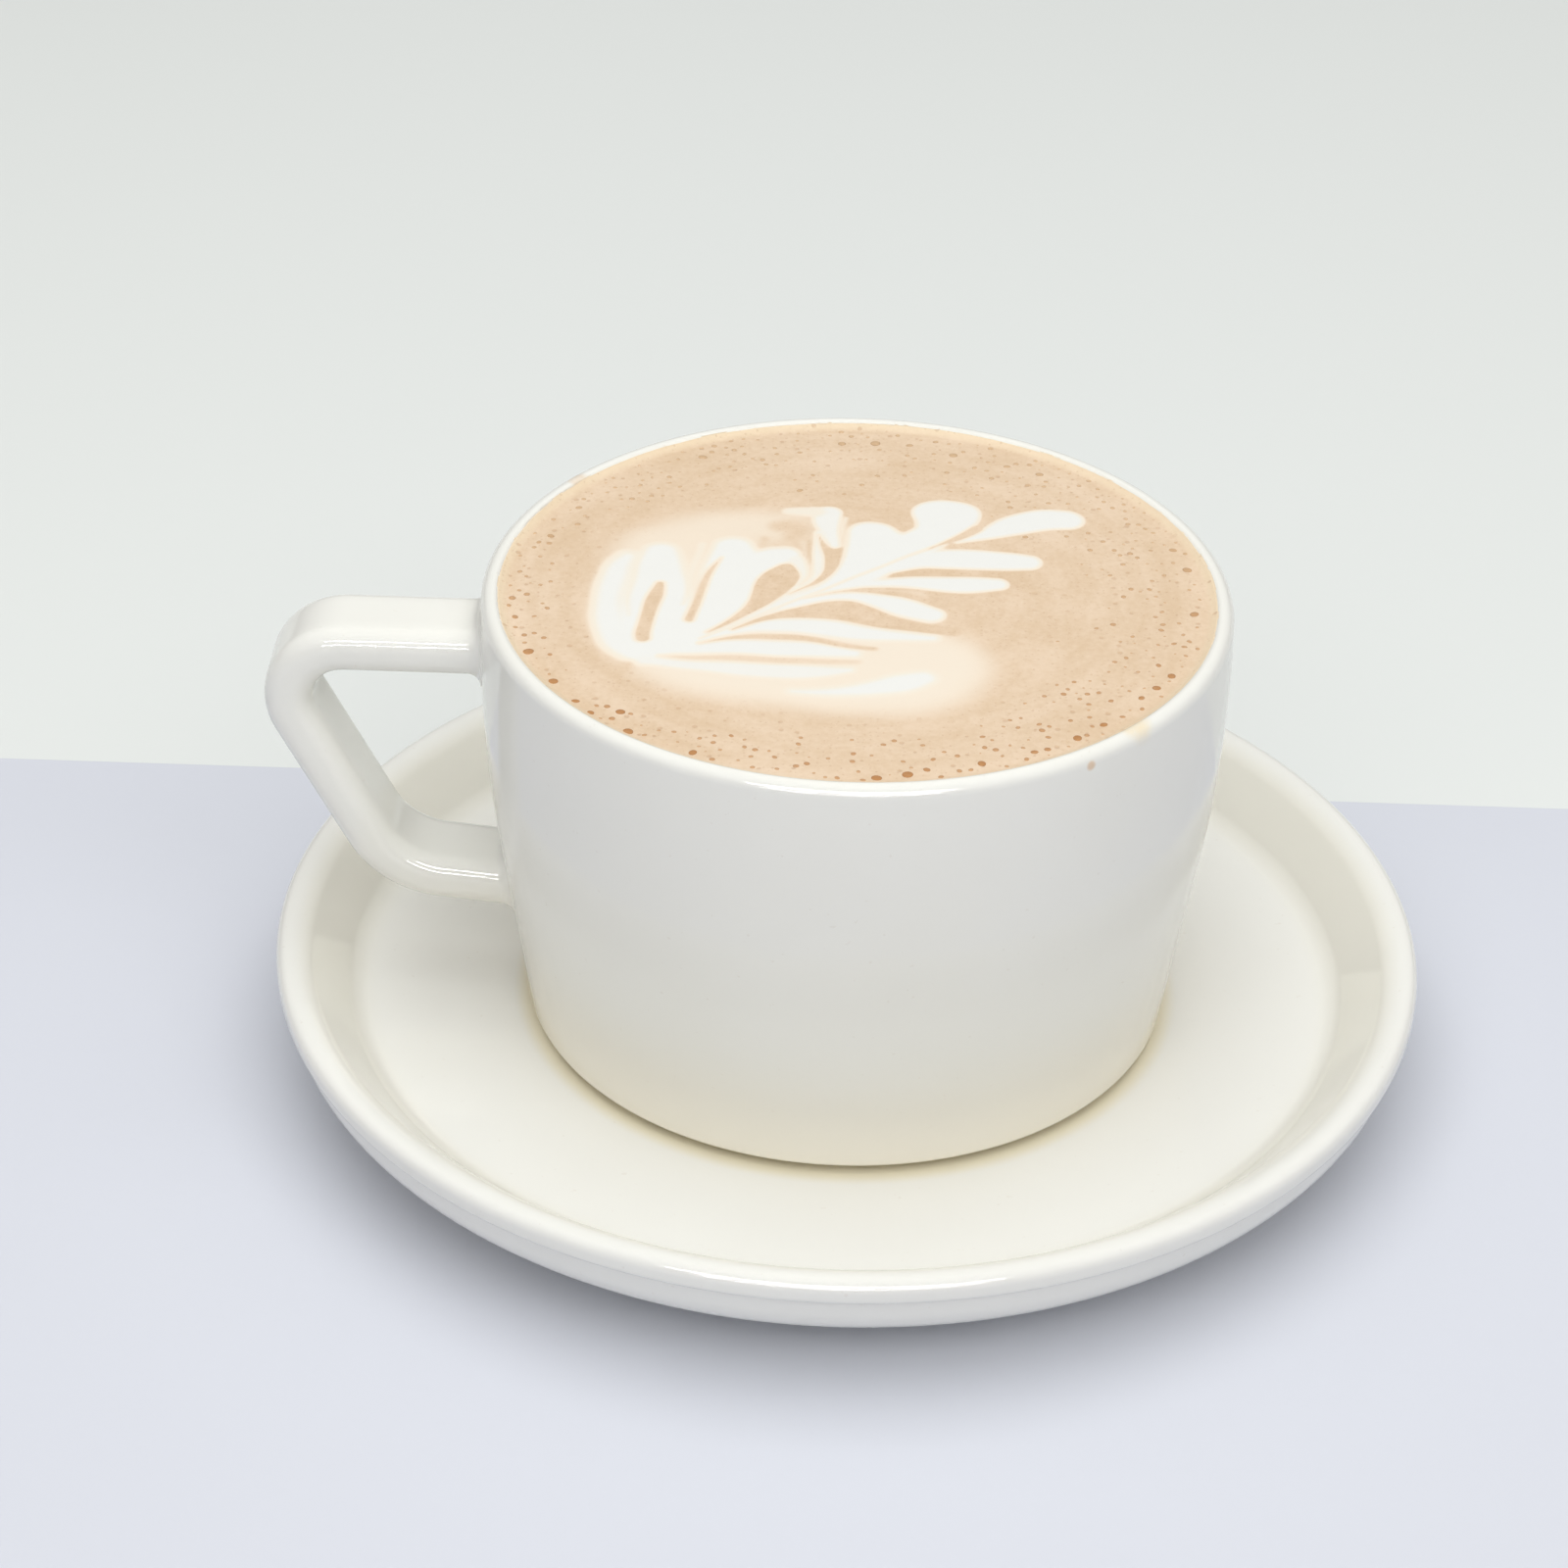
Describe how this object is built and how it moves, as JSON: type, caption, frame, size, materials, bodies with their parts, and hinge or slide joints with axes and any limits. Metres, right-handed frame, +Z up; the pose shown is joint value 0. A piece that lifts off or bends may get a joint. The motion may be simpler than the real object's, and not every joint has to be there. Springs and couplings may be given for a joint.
{
  "type": "latte in a cup and saucer",
  "caption": "Milk coffee with a poured leaf pattern, filled to the brim of a thick white cup with a strap handle, standing on a dished saucer with a rolled rim.",
  "frame": {"origin": "on the surface the saucer stands on, under the axis of the cup and saucer", "axes": "+Z up along the axis of the cup and saucer; the handle stands out along -X"},
  "size_m": [0.154, 0.154, 0.0699],
  "materials": {
    "saucer_glaze": "gloss",
    "cup_glaze": "gloss",
    "coffee_foam": "satin"
  },
  "bodies": {
    "root": {"saucer": "saucer_glaze", "cup": "cup_glaze", "coffee": "coffee_foam"}
  },
  "joints": []
}
